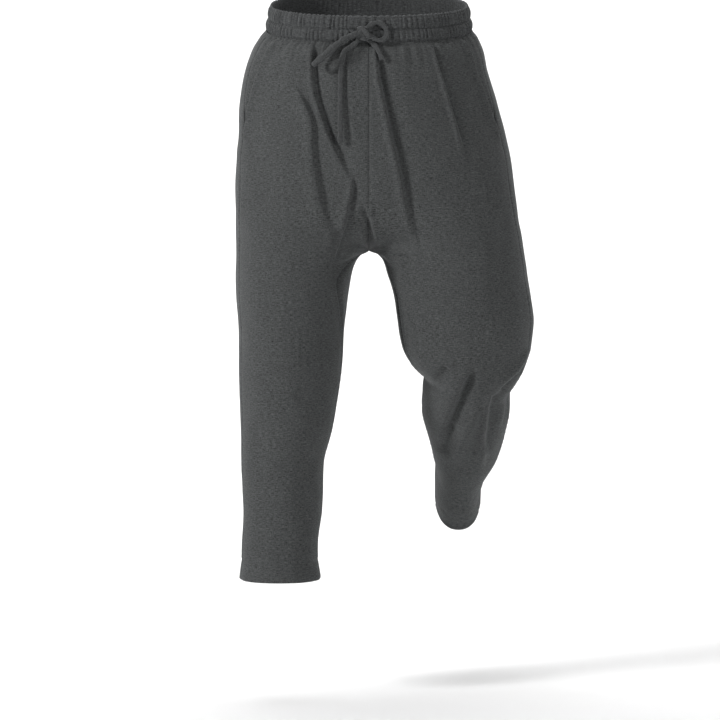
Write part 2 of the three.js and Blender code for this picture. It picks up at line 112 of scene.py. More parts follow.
rightLeg = [dict(zip(legColumns, row)) for row in (
    (-372, 0, 214, 0, 115, 0, 21, 0),
    (-379, 0, 214, 12, 115, 0, 21, 12),
    (-391, -1, 214, 22, 115, 0, 21, 28),
    (-426, -3, 213.5, 31, 114, -1, 21, 42),
    (-465, -7, 212, 37, 111, -2, 21, 30),
    (-500, -11, 210, 41, 107, -3, 21, 18),
    (-552, -17, 209, 43, 101, -3, 20, 10),
    (-599, -23, 208, 49, 94, -3, 20, 8),
    (-637, -27, 207, 55, 88, -3, 19, 8),
    (-687, -33, 206, 66, 80, -2, 18, 8),
    (-718, -37, 206, 73, 75, -2, 18, 8),
    (-755, -41, 204, 75, 71, -2, 17, 8),
    (-790, -45, 202, 76, 67, -2, 17, 8),
    (-850, -52, 205, 82, 63, -1, 17, 8),
    (-874, -55, 205, 83, 62, -1, 17, 8),
    (-899, -57, 207, 80, 63, 0, 17, 8),
)]
leftLeg = [dict(zip(legColumns, row)) for row in (
    (-372, 0, 249, 0, 115, 0, 21, 0),
    (-379, 0, 250, 14, 115, 0, 21, 8),
    (-391, 1, 253, 25, 115, 0, 21, 14),
    (-410, 2, 255, 29, 114, 1, 22, 20),
    (-447, 4, 261, 40, 111, 2, 22, 22),
    (-489, 8, 267, 47, 106, 5, 22, 22),
    (-528, 14, 264, 55, 102, 9, 21, 20),
    (-548, 19, 258, 64, 99, 12, 20, 18),
    (-565, 26, 251, 80, 97, 15, 20, 14),
    (-577, 32, 243, 91, 95, 18, 20, 10),
    (-600, 46, 230, 88, 92, 23, 20, 8),
    (-628, 66, 232, 87, 89, 28, 20, 8),
    (-664, 94, 225, 95, 86, 32, 20, 8),
    (-700, 122, 214, 104, 83, 35, 20, 8),
    (-738, 150, 195, 112, 80, 36, 20, 8),
    (-772, 175, 187, 112, 78, 37, 20, 8),
    (-798, 195, 186, 112, 77, 37, 20, 8),
)]
legs = {-1: rightLeg, 1: leftLeg}
form = {
    "power": 2.25,        # how square the sections are
    "seatPower": 2.8,     # and just above the curve of the rise
    "seatTopZ": -150,
    "riseCurveZ": -286,   # where the rise starts to curve under
    "crotchZ": -372,
    "wall": 1.6,
    "hemHeight": 28,
    "hemExtra": 1.1,      # how much thicker the turned-up hem is
    "pocketShare": 0.25,  # of the front's width, at the waist
    "pocketBottomZ": -205,
    "pocketInset": 3.8,
    "pocketFall": 1.8,
}

# Folds: way, depth, width, lip and sunk. A way runs down in x and z. The lip is a ridge beside the fold, as a
# share of its depth: above 0 it lies toward +x, below 0 toward -x. The other side is sunk, and sunk is the
# share of the depth that comes back slowly. A fold without a lip is a soft, even trough, or a ridge where the
# depth is below 0.
foldColumns = ("way", "depth", "width", "lip", "sunk")


def foldTable(rows):
    return {name: dict(zip(foldColumns, (*row, 0.0, 0.0))) for name, row in rows.items()}


frontFolds = foldTable({
    "right pleat": ([(-84, -30), (-87, -62), (-87, -92), (-83, -124), (-74, -154), (-63, -184), (-49, -214),
        (-35, -242), (-22, -272)], 8.6, 6, -0.4, 0.55),
    "right pleat turning back": ([(-24, -250), (-26, -277), (-30, -300), (-35, -324), (-41, -352),
        (-50, -384), (-56, -420)], 6.4, 6, -0.4, 0.45),
    "right thigh": ([(-115, -108), (-99, -137), (-87, -166), (-86, -203), (-82, -240), (-73, -285),
        (-62, -326), (-46, -362)], 6.4, 9, -0.45, 0.5),
    "right thigh, below": ([(-49, -334), (-55, -362), (-58, -396), (-55, -432)], 4.6, 9, -0.4, 0.5),
    "beside the fly": ([(9, -38), (14, -68), (17, -93), (24, -127), (31, -159), (38, -190), (46, -222),
        (53, -255), (63, -305), (74, -344), (89, -412)], 9.0, 6, -0.4, 0.55),
    "left pleat": ([(98, -30), (103, -52), (111, -80), (118, -101), (124, -120), (130, -140), (138, -167),
        (146, -195), (152, -215), (166, -268)], 4.4, 4, -0.6, 0.45),
    "above the crotch": ([(-8, -300), (0, -326), (5, -348), (9, -370)], 7.0, 7, 0.5, 0.4),
    "fly edge": ([(-36, -50), (-36, -100), (-34, -150), (-29, -190), (-23, -216)], 2.4, 6, 0.4, 0.0),
    "right waist": ([(-122, -32), (-136, -52), (-144, -68)], 2.4, 7, 0.3, 0.0),
    "left waist": ([(66, -34), (70, -60), (78, -82)], 1.8, 7, 0.2, 0.0),
    "left thigh, outer": ([(214, -300), (212, -380), (208, -450), (203, -512)], 4.4, 14),
    "left thigh, inner": ([(50, -370), (53, -388), (53, -412), (49, -440)], -2.6, 4),
    "crotch to left thigh": ([(14, -366), (52, -358), (104, -334)], 3.0, 13),
    "left knee break": ([(268, -534), (246, -564), (222, -586), (200, -610)], 8.5, 8, -0.7, 0.3),
    "left calf rim": ([(212, -590), (221, -614), (220, -644), (213, -674)], 3.4, 5, -0.7, 0.0),
    "left shin ridge": ([(194, -596), (189, -622), (186, -655), (183, -690), (181, -722),
        (180, -760)], -8.0, 6),
    "beside the shin ridge": ([(204, -602), (200, -650), (193, -704)], 7.5, 10),
    "left shin trough": ([(166, -560), (154, -586), (144, -612), (134, -638), (126, -664),
        (121, -704)], 12.0, 11, -0.2),
    "left shin, inner": ([(126, -556), (112, -580), (101, -600)], 7.0, 9),
    "left shin, slanting ridge": ([(178, -616), (168, -646), (156, -676), (144, -702),
        (131, -728)], -5.5, 8),
    "under the slanting ridge": ([(132, -656), (128, -684), (118, -708)], 6.0, 10),
    "right knee": ([(-58, -500), (-94, -556), (-118, -640)], 2.6, 20),
    "right thigh, slanting": ([(-118, -590), (-92, -612), (-66, -640)], 2.2, 13),
    "right shin": ([(-176, -640), (-170, -720), (-176, -806)], 2.6, 17),
    "right shin, inner": ([(-92, -690), (-104, -760), (-100, -830)], 3.2, 16),
    "right hip": ([(-176, -190), (-172, -262), (-176, -330)], 2.0, 17),
})
backFolds = foldTable({
    "right seat": ([(-16, -296), (-70, -340), (-130, -370), (-188, -380)], 6.0, 13, 0.6, 0.3),
    "left seat": ([(18, -296), (78, -345), (150, -384), (222, -398)], 6.6, 13, 0.6, 0.3),
    "right seat, lower": ([(-22, -352), (-66, -392), (-112, -410)], 4.0, 10, 0.5, 0.2),
    "left seat, lower": ([(24, -356), (72, -400), (128, -424)], 4.4, 10, 0.5, 0.2),
    "right thigh": ([(-40, -430), (-90, -474), (-156, -522)], 3.8, 13, 0.4, 0.2),
    "left thigh": ([(60, -440), (120, -480), (208, -505)], 4.6, 13, 0.4, 0.2),
    "left knee, upper": ([(66, -516), (130, -540), (244, -526)], 6.6, 10, 0.6, 0.2),
    "left knee, lower": ([(92, -560), (160, -576), (228, -560)], 5.8, 9, 0.6, 0.2),
    "left calf": ([(124, -600), (160, -640), (176, -690)], 3.4, 12),
    "right knee": ([(-56, -560), (-120, -592), (-196, -580)], 4.2, 12, 0.5, 0.2),
    "right calf": ([(-80, -640), (-120, -668), (-186, -664)], 2.8, 14),
    "right ankle": ([(-96, -780), (-150, -800), (-196, -786)], 2.0, 14),
    "centre seat": ([(-5, -110), (-13, -190), (-7, -262)], 2.8, 15),
    "left waist": ([(70, -18), (92, -100), (88, -190)], 3.4, 13, 0.4, 0.0),
    "right waist": ([(-62, -16), (-80, -96), (-98, -172)], 3.2, 12, 0.4, 0.0),
    "left hip": ([(150, -40), (168, -120), (172, -210)], 2.4, 15),
    "right hip": ([(-146, -36), (-160, -110), (-162, -190)], 2.2, 14),
})
crispFolds = {             # those beside which the grid is denser
    -1: ("right pleat", "right pleat turning back", "right thigh"),
    1: ("left pleat", "beside the fly", "above the crotch"),
}


# A smooth value between the rows of a table, never beyond theirs
def alongTable(table, name, z):
    knots = -np.array([row["z"] for row in table], float)
    values = np.array([row[name] for row in table], float)
    slopes = np.diff(values) / np.diff(knots)
    tangents = np.zeros_like(values)
    before, after = slopes[:-1], slopes[1:]
    same = before * after > 0
    tangents[1:-1][same] = 2 * before[same] * after[same] / (before[same] + after[same])
    at = np.clip(np.searchsorted(knots, -z, side="right") - 1, 0, len(knots) - 2)
    span = knots[at + 1] - knots[at]
    t = np.clip((-z - knots[at]) / span, 0, 1)
    bend = t * (1 - t) * span * ((1 - t) * tangents[at] - t * tangents[at + 1])
    return values[at] + (values[at + 1] - values[at]) * t * t * (3 - 2 * t) + bend


def smooth(t):
    t = np.clip(t, 0, 1)
    return t * t * (3 - 2 * t)


def hump(x, width, centre=0.0):
    return np.exp(-(((x - centre) / width) ** 2))


# A point on a circle of radius 1, squared off where the exponent is below 1
def squaredCircle(angle, exponent):
    return (np.sign(wave) * np.abs(wave) ** exponent for wave in (np.cos(angle), np.sin(angle)))


def turnSteps(count):
    return np.linspace(0, 2 * math.pi, count, endpoint=False)


def unit(vectors):
    return vectors / np.maximum(np.linalg.norm(vectors, axis=-1, keepdims=True), 1e-9)


def lengthAlong(points):
    steps = np.linalg.norm(np.diff(points, axis=-2), axis=-1)
    return np.concatenate([np.zeros_like(steps[..., :1]), np.cumsum(steps, axis=-1)], axis=-1)


# s runs round a leg panel: 0 is the side seam, -1 the front's inner edge and 1 the back's. Past onSeam it
# counts as lying on the seam.
onSeam = 0.9999


def torsoPoint(side, s, z, turn):
    get = lambda name: alongTable(torsoSections, name, z)
    seam, end = get("seam"), 90 + turn
    angle = np.radians(np.where(s < 0, seam - s * (end - seam), seam - s * (end + seam)))
    seat = smooth((form["seatTopZ"] - z) / (form["seatTopZ"] - form["riseCurveZ"])) * (1 - turn / 90) ** 2
    power = form["power"] + (form["seatPower"] - form["power"]) * seat
    shift = np.maximum(-np.cos(np.radians(end)), 0) ** (2 / power)
    across = get("right" if side < 0 else "left") / (1 + shift)
    deep = np.where(angle > 0, get("front"), get("back"))
    x, y = squaredCircle(angle, 2 / power)
    x = np.where(np.abs(s) > onSeam, 0, across * (shift + x))
    return np.stack([side * x, -deep * y, z - get("dip") * y], -1)


def legPoint(side, s, z):
    get = lambda name: alongTable(legs[side], name, z)
    seam, inseam = get("seam"), get("inseam")
    turn = np.where(s < 0, 180 - inseam - seam, 180 + inseam + seam)
    angle = np.radians(seam - s * turn)
    outer, inner, tilt = get("outer"), get("inner"), np.radians(get("tilt"))
    x, y = squaredCircle(angle, 2 / form["power"])
    x, depth = (outer + inner) / 2 + (outer - inner) / 2 * x, -get("half") * y
    return np.stack([side * x, get("y") + depth * np.cos(tilt), z + depth * np.sin(tilt)], -1)


# v runs from 0 at the waist seam to 1 where the rise curves under, 2 at the crotch and 3 at the hem
def sharpPoint(side, s, v):
    top, curve, crotch, hem = torsoSections[0]["z"], form["riseCurveZ"], form["crotchZ"], legs[side][-1]["z"]
    turn = 90 * smooth(v - 1)
    straight = top + (curve - top) * np.clip(v, 0, 1)
    share = np.clip(v - 1, 0, 1)
    share = share + (np.sin(np.radians(turn)) - share) * s * s
    torso = torsoPoint(side, s, np.where(v <= 1, straight, curve + (crotch - curve) * share), turn)
    leg = legPoint(side, s, crotch + (hem - crotch) * np.clip(v - 2, 0, 1))
    return np.where((v >= 2)[..., None], leg, torso)


# The same with the bend at the crotch line eased: blended over reach, within height of the line, and less
# and less from seamFrom on towards the seams of the rise
def plainPoint(side, s, v, reach=14, height=46, spread=2.2, seamFrom=0.84, seamFade=0.14):
    marks = np.arange(4.0)
    heights = [-torsoSections[0]["z"], -form["riseCurveZ"], -form["crotchZ"], -legs[side][-1]["z"]]
    depth = np.interp(v, marks, heights)
    reach = reach * hump(depth, height, -form["crotchZ"])
    sharp = sharpPoint(side, s, v)
    eased, weights = np.zeros_like(sharp), 0
    for offset in (-2, -1, 0, 1, 2):
        weight = math.exp(-offset * offset / spread)
        eased += weight * sharpPoint(side, s, np.interp(depth + offset * reach, heights, marks))
        weights += weight
    share = (1 - smooth((np.abs(s) - seamFrom) / seamFade))[..., None]
    return sharp + (eased / weights - sharp) * share


# A curve through the points between the first and the last
def curveThrough(points, steps):
    line = []
    for a, b, c, d in zip(points, points[1:], points[2:], points[3:]):
        a, b, c, d = (np.array(p, float) for p in (a, b, c, d))
        for t in np.linspace(0, 1, steps, endpoint=False):
            line.append(0.5 * (2 * b + (c - a) * t + (2 * a - 5 * b + 4 * c - d) * t**2
                               + (3 * b - a - 3 * c + d) * t**3))
    return np.array([*line, points[-2]])


def smoothWay(way, steps=7):
    return curveThrough([way[0], *way, way[-1]], steps)


# The slow part of a fold is slowWidth times as wide. Where the sunk side turns up to the lip, it does so from
# dropStart over dropLength, both in widths. The depth comes and goes in shares of the way.
def foldShift(folds, x, z, reach=8, startWidth=0.8, widening=0.8, startFade=0.16, endFade=0.32, slowWidth=3.2,
              lipPlace=0.95, lipWidth=0.75, dropStart=-0.25, dropLength=0.75):
    total = np.zeros_like(x)
    for fold in folds.values():
        line = smoothWay(fold["way"])
        felt = reach * fold["width"]
        (left, bottom), (right, top) = line.min(axis=0) - felt, line.max(axis=0) + felt
        near = (x > left) & (x < right) & (z > bottom) & (z < top)
        if not near.any():
            continue
        px, pz = x[near], z[near]
        best, offside, share = np.full(px.shape, 1e9), np.zeros_like(px), np.zeros_like(px)
        for i, (a, b) in enumerate(zip(line[:-1], line[1:])):
            d = b - a
            t = np.clip(((px - a[0]) * d[0] + (pz - a[1]) * d[1]) / (d @ d), 0, 1)
            away = np.hypot(px - a[0] - t * d[0], pz - a[1] - t * d[1])
            closer = away < best
            best[closer] = away[closer]
            offside[closer] = np.sign(d[0] * (pz - a[1]) - d[1] * (px - a[0]))[closer]
            share[closer] = (i + t[closer]) / (len(line) - 1)
        lipSide = -1 if fold["lip"] < 0 else 1
        width = fold["width"] * (startWidth + widening * share)
        q = best * offside * lipSide / width
        ends = smooth(share / startFade) * smooth((1 - share) / endFade)
        if fold["lip"] == 0:
            shape = -hump(q, 1)
        else:
            trough = (1 - fold["sunk"]) * hump(q, 1) + fold["sunk"] * hump(q, slowWidth)
            trough = trough * (1 - smooth((q - dropStart) / dropLength))
            shape = abs(fold["lip"]) * hump(q, lipWidth, lipPlace) - trough
        total[near] += fold["depth"] * ends * shape
    return total


# The uneven lie of the cloth: waves in random directions, their lengths in mm
def makeRipples(seed, count, shortest, longest):
    random = np.random.default_rng(seed)
    waves = unit(random.normal(size=(count, 3)))
    lengths = np.exp(random.uniform(np.log(shortest), np.log(longest), count))
    return waves * (2 * math.pi / lengths)[:, None], random.uniform(0, 2 * math.pi, count), lengths / longest


def ripple(waves, points):
    directions, phases, sizes = waves
    return (np.sin(points @ directions.T + phases) * sizes).sum(-1) / math.sqrt(len(phases))


softWaves = makeRipples(seed=4, count=26, shortest=45, longest=150)
fineWaves = makeRipples(seed=9, count=30, shortest=16, longest=40)


# Cloth normals, joined across the centre and the inseam
def clothNormals(side, s, v, ds=0.004, dv=0.006, joinFrom=0.93):
    def slopes(at, which):
        across = plainPoint(which, np.minimum(at + ds, 1), v) - plainPoint(which, np.maximum(at - ds, -1), v)
        down = plainPoint(which, at, np.minimum(v + dv, 3)) - plainPoint(which, at, np.maximum(v - dv, 0))
        return unit(np.cross(down, across) * which)

    neighbour = np.where((v < 2)[..., None], slopes(s, -side), slopes(-s, side))
    share = 0.5 * smooth((np.abs(s) - joinFrom) / (1 - joinFrom))[..., None]
    normals = slopes(s, side) * (1 - share) + neighbour * share
    normals[..., 0] = np.where((np.abs(s) > onSeam) & (v <= 2), 0, normals[..., 0])
    return unit(normals)


# Gathers round the waist: one phase for each place, so that the cloth below puckers where the band does
bandLook = {
    "height": 40, "halfWidth": 160, "halfDepth": 112, "taper": 5, "wall": 2.6, "dip": 22,
    "columns": 1000, "outerRows": 36, "innerRows": 14,
    "gathers": 117,
    "gatherDepth": 1.7,
    "gatherSharpness": 0.62,  # lower is sharper at the bottom of a gather
    "channelBulge": 2.4,
    "stitchDip": 1.54,
    "edgeWave": 1.0,          # how far the gathers scallop the top edge
    "insideWave": 0.35,
    "unevenness": 1.0,
    "meanRadius": 137,        # for laying out the weave
    # The band is the panels' cloth; this tone is set darker to paint in the shade among its gathers
    "tone": (0.0465, 0.0486, 0.0494),
}
upperPhase = 2.4              # sets the upper channel's gathers apart from the lower one's


def sines(angle, *rows):
    return sum(amount * np.sin(turns * angle + phase) for turns, phase, amount in rows)


def gatherPhase(angle, channel=0.0):
    wander = sines(angle, (7, 0.4, 1.9), (13, 2.1 + channel, 1.3), (23, 4.0, 0.9), (41, 1.2 * channel, 0.7))
    return bandLook["gathers"] * angle + bandLook["unevenness"] * wander


# A gather's height for its phase, from -1.4 to 0.6 with a mean near 0
def ridge(phase):
    return 2 * np.abs(np.sin(phase / 2)) ** bandLook["gatherSharpness"] - 1.4


# The panels' surface, in mm
cloth = {
    "softWave": 1.5,          # uneven lie of the cloth
    "fineWave": 0.35,
    "pucker": 1.2,            # gathers carried down below the band
    "puckerReach": 24,
    "seamDip": 1.1,
    "seamWidth": 2.2,
    "seamPucker": 0.35,       # short waves beside a seam
    "seamPuckerPlace": 7,
    "seamPuckerWidth": 6,
    "pocketLift": 3.8,        # how far the pocket mouth stands off
    "mouthWidth": 12,
    "inseamLip": 1.6,         # the front's edge at the inner leg seam
    "inseamLipWidth": 5,
    "inseamSink": {-1: 12.0, 1: 7.2},  # and the back beside it, for the wearer's right and left leg
    "inseamSinkPlace": 8.5,
    "inseamSinkWidth": 7,
    "hemDip": 1.3,
}
# How finely the panels are cut up, and how much denser the columns are beside a crisp fold
panelGrid = {
    "rise": 96,
    "curve": 44,
    "leg": 168,
    "frontColumns": 128,
    "backColumns": 108,
    "facingColumns": 44,
    "denser": 2.2,
    "besideFold": 0.055,
    "aboveFold": 25,
    "belowFold": 30,
}


def frontEdge(side, v):
    z = plainPoint(side, np.zeros_like(v), v)[..., 2]
    bottom, top = form["pocketBottomZ"], torsoSections[0]["z"]
    return -form["pocketShare"] * np.clip((z - bottom) / (top - bottom), 0, 1) ** 0.8


def rowValues(side):
    top = np.linspace(0, 1, panelGrid["rise"], endpoint=False) ** 1.15
    middle = 1 + np.linspace(0, 1, panelGrid["curve"], endpoint=False)
    t = np.linspace(0, 1, panelGrid["leg"])
    even = 0.62 if side < 0 else 0.7
    return np.concatenate([top, middle, 2 + t * (even + (1 - even) * t)])


# Where a fold's way crosses each row of the front
def placeOf(side, v, line):
    low, high = np.full_like(v, -0.995), frontEdge(side, v) - 0.02
    for _ in range(16):
        middle = (low + high) / 2
        point = plainPoint(side, middle, v)
        lineX = np.interp(-point[..., 2], -line[:, 1], line[:, 0])
        short = side * point[..., 0] < side * lineX
        low, high = np.where(short, middle, low), np.where(short, high, middle)
    return (low + high) / 2


# Columns lie close together beside the crisp folds and spread out away from them
def frontColumns(side, v):
    edge = frontEdge(side, v)
    height = plainPoint(side, np.full_like(v, -0.6), v)[:, 2]
    at = -1 + (edge[:, None] + 1) * np.linspace(0, 1, 500)[None, :]
    density = np.ones_like(at)
    above, below = panelGrid["aboveFold"], panelGrid["belowFold"]
    for name in crispFolds[side]:
        line = smoothWay(frontFolds[name]["way"])
        within = smooth((line[0, 1] + above - height) / above)
        within *= smooth((height - line[-1, 1] + below) / below)
        beside = hump(at, panelGrid["besideFold"], placeOf(side, v, line)[:, None])
        density += panelGrid["denser"] * beside * within[:, None]
    total = np.cumsum(density, axis=1)
    total = (total - total[:, :1]) / (total[:, -1:] - total[:, :1])
    wanted = np.linspace(0, 1, panelGrid["frontColumns"])
    return np.stack([np.interp(wanted, row, places) for row, places in zip(total, at)])


def backColumns(rows):
    even = np.linspace(0, 1, panelGrid["backColumns"])
    row = even - 0.6 * np.sin(2 * math.pi * even) / (2 * math.pi)
    return np.broadcast_to(row, (rows, len(row))).copy()


# The plain form, its normals, how far the cloth stands off it, and lengths across and down
def clothSurface(side, s, v, kind):
    v = np.broadcast_to(v[:, None], s.shape)
    points, normals = plainPoint(side, s, v), clothNormals(side, s, v)
    x, y, z = np.moveaxis(points, -1, 0)
    arc, down = lengthAlong(points), lengthAlong(points.swapaxes(0, 1)).T
    shift = np.where(normals[..., 1] < 0, foldShift(frontFolds, x, z), foldShift(backFolds, x, z))
    shift = shift * np.clip(np.abs(normals[..., 1]) * 1.6, 0, 1) * smooth(v / 0.08)
    free = smooth(v / 0.15)
    shift += cloth["softWave"] * ripple(softWaves, points * (1, 1, 0.62)) * free
    shift += cloth["fineWave"] * ripple(fineWaves, points * (1, 1, 0.5)) * free

    waist, phase = torsoSections[0], gatherPhase(np.arctan2(y, x))
    below = waist["z"] - z + waist["dip"] * y / waist["front"]
    fade = np.exp(-np.maximum(below, 0) / cloth["puckerReach"])
    shift += cloth["pucker"] * 0.7 * ridge(phase) * fade**1.6
    shift += cloth["pucker"] * np.sin(phase * 0.37 + 1) * fade * np.minimum(below / 8, 1)

    toEdge = arc[:, -1:] - arc
    for away, phase in ((arc, 0.0), (toEdge, 1.7)):
        waver = np.sin(down * 0.62 + phase + 2.2 * np.sin(down * 0.05 + phase))
        shift -= cloth["seamDip"] * hump(away, cloth["seamWidth"]) * smooth(v / 0.03)
        shift += cloth["seamPucker"] * hump(away, cloth["seamPuckerWidth"], cloth["seamPuckerPlace"]) * waver
    inside = smooth((v - 1.9) / 0.1) * smooth((2.75 - v) / 0.45)
    if kind == "back":
        sink = cloth["inseamSink"][side] * inside * smooth((v - 1.96) / 0.08)
        shift -= sink * hump(toEdge, cloth["inseamSinkWidth"], cloth["inseamSinkPlace"])
    else:
        shift += cloth["inseamLip"] * inside * hump(arc, cloth["inseamLipWidth"])
    if kind == "front":
        opening = smooth(-frontEdge(side, v[:, 0])[:, None] / 0.05) * smooth(v / 0.05)
        shift += cloth["pocketLift"] * opening * hump(toEdge, cloth["mouthWidth"])
        shift += cloth["seamDip"] * opening * hump(toEdge, cloth["seamWidth"])
    return points, normals, shift, arc, down


# How far each row is inside the turned-up hem, and the line where the hem is sewn
def hemRows(side, v):
    end = legs[side][-1]
    start = 3 - form["hemHeight"] * math.cos(math.radians(end["tilt"])) / (form["crotchZ"] - end["z"])
    return smooth((v - start) / 0.006 + 0.5), hump(v, 0.005, start)


def addMesh(name, points, faces, slotName, uv):
    mesh = bpy.data.meshes.new(name)
    mesh.from_pydata([tuple(p) for p in np.asarray(points) * mm], [], [tuple(f) for f in faces])
    layer = mesh.uv_layers.new(name="cloth")
    corners = np.empty(len(mesh.loops), dtype=np.int32)
    mesh.loops.foreach_get("vertex_index", corners)
    layer.data.foreach_set("uv", (np.asarray(uv) * mm)[corners].ravel())
    mesh.shade_smooth()
    mesh.update()
    piece = addObject(name, mesh)
    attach(piece, "root")
    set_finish(piece, slotName)
    return piece


def quads(*corners):
    return np.stack(corners, -1).reshape(-1, 4)


# A closed shell from matching outer and inner grids, with a rounded rim all round
def shellGrid(outer, inner, uv, rimReach=0.8):
    rows, columns = outer.shape[:2]
    count, index = rows * columns, np.arange(rows * columns).reshape(rows, columns)
    rim = np.concatenate([index[0, :-1], index[:-1, -1], index[-1, :0:-1], index[:0:-1, 0]])
    beside = np.concatenate([index[1, :-1], index[:-1, -2], index[-2, :0:-1], index[:0:-1, 1]])
    outer, inner, uv = outer.reshape(-1, 3), inner.reshape(-1, 3), uv.reshape(-1, 2)
    middle = (outer + inner) / 2
    half = np.linalg.norm(outer - inner, axis=-1, keepdims=True) / 2
    ring = middle[rim] + unit(middle[rim] - middle[beside]) * half[rim] * rimReach
    a, b, c, d = index[:-1, :-1], index[1:, :-1], index[1:, 1:], index[:-1, 1:]
    ringIndex, innerRim = 2 * count + np.arange(len(rim)), rim + count
    rimNext, ringNext, innerNext = (np.roll(line, -1) for line in (rim, ringIndex, innerRim))
    faces = [quads(a, b, c, d), quads(a, d, c, b) + count,
             quads(rim, rimNext, ringNext, ringIndex), quads(ringIndex, ringNext, innerNext, innerRim)]
    return np.concatenate([outer, inner, ring]), np.concatenate(faces), np.concatenate([uv, uv, uv[rim]])


# Where each piece lies on the cloth it is cut from, so that no two show the same threads
cutPlaces = {"right_front": (0, 0), "left_front": (730, 310), "right_back": (1490, 140),
             "left_back": (2270, 520), "right_pocket": (3000, 90), "left_pocket": (3350, 640)}


# Threads run level and straight down, counted from the side seam
def clothUv(name, arc, down, hidden=0.0):
    place = cutPlaces["_".join(name.split("_")[:2])]
    fromSide = arc if "back" in name else arc - arc[:, -1:] - hidden
    length = down[:, :1] if "back" in name else down[:, -1:]
    return np.stack([fromSide + place[0], length + place[1] + 0 * arc], -1)


def addShell(name, side, outer, inner, uv):
    if side < 0:
        outer, inner, uv = outer[:, ::-1], inner[:, ::-1], uv[:, ::-1]
    points, faces, uv = shellGrid(outer, inner, uv)
    return addMesh(name, points, faces, "panel_cloth", uv)


outsides = {}            # each panel's outside and rows, for the stitches
stitchLift = 0.12


def addPanel(name, side, kind):
    v = rowValues(side)
    s = frontColumns(side, v) if kind == "front" else backColumns(len(v))
    points, normals, shift, arc, down = clothSurface(side, s, v, kind)
    hem, hemLine = hemRows(side, v[:, None])
    shift = shift - cloth["hemDip"] * hemLine
    outer = points + normals * (shift + form["wall"] / 2 + hem * form["hemExtra"] / 2)[..., None]
    inner = points + normals * (shift - form["wall"] / 2 - hem * form["hemExtra"])[..., None]
    edge = -frontEdge(side, v)[:, None] if kind == "front" else 0
    outsides[name] = outer + normals * stitchLift, v
    return addShell(name, side, outer, inner, clothUv(name, arc, down, arc[:, -1:] * edge / (1 - edge)))


# The facing starts under the front's slanted edge, ends below its mouth and sinks on the way to the side seam
def addFacing(name, side, under=0.1, below=12, sideGap=0.004):
    v = rowValues(side)
    depth = plainPoint(side, np.zeros_like(v), v)[:, 2]
    v = v[depth > form["pocketBottomZ"] - below]
    edge = frontEdge(side, v)[:, None]
    start = edge - under
    s = start - (sideGap + start) * np.linspace(0, 1, panelGrid["facingColumns"])[None, :]
    points, normals, shift, arc, down = clothSurface(side, s, v, "facing")
    share = np.where(edge < -0.02, smooth(np.clip(s / np.minimum(edge, -0.02) * 1.12, 0, 1)), 1)
    sunk = form["pocketInset"] * np.maximum(share, smooth((v[:, None] / v[-1] - 0.55) / 0.3))
    sunk = sunk + form["pocketFall"] * smooth((edge - s) / under)
    outer = points + normals * (shift + form["wall"] / 2 - sunk)[..., None]
    return addShell(name, side, outer, outer - normals * form["wall"], clothUv(name, arc, down))


panels = {}
for word, side in (("right", -1), ("left", 1)):
    panels[f"front_{word}"] = addPanel(f"{word}_front_panel", side, "front")
    panels[f"back_{word}"] = addPanel(f"{word}_back_panel", side, "back")
    panels[f"pocket_facing_{word}"] = addFacing(f"{word}_pocket_facing", side)
for node, panel in panels.items():
    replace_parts(panel, node)
print("panels made")


# A place on the band's middle wall, moved out by a distance
def bandPoints(angle, share, out):
    grow = bandLook["taper"] * (1 - smooth(share)) - bandLook["taper"] / 2
    halfWidth, halfDepth = bandLook["halfWidth"], bandLook["halfDepth"]
    x, y = squaredCircle(angle, 2 / form["power"])
    x, y = x * (halfWidth + grow), y * (halfDepth + grow)
    normal = unit(np.stack([x / halfWidth**2, y / halfDepth**2, 0 * x], -1))
    z = bandLook["height"] * (share - 0.5) + bandLook["dip"] * y / halfDepth
    return np.stack([x, y, z], -1) + normal * out[..., None]


# The band's gathers, two channels and sewn rows
def bandOutward(angle, share):
    channel = np.where(share < 0.5, 0.0, upperPhase)
    blend = smooth((share - 0.4) / 0.2)
    phase = gatherPhase(angle, 0.0) * (1 - blend) + gatherPhase(angle, upperPhase) * blend
    phase = phase + 1.1 * np.sin(29 * angle + 3) * (share - 0.5) + 0.8 * np.sin(53 * angle) * share
    within = np.abs(np.sin(2 * math.pi * share))
    uneven = 0.75 + sines(angle, (17, channel, 0.35), (37, 1.3 + channel, 0.25))
    gather = ridge(phase) * bandLook["gatherDepth"] * uneven * (0.42 + 0.58 * within)
    small = np.sin(1.83 * phase + 6 * share + channel) * 0.28 * within
    rows = hump(share, 0.035, 0.03) + hump(share, 0.03, 0.5) + 0.55 * hump(share, 0.035, 0.94)
    return gather + small + bandLook["channelBulge"] * within**0.6 - bandLook["stitchDip"] * rows


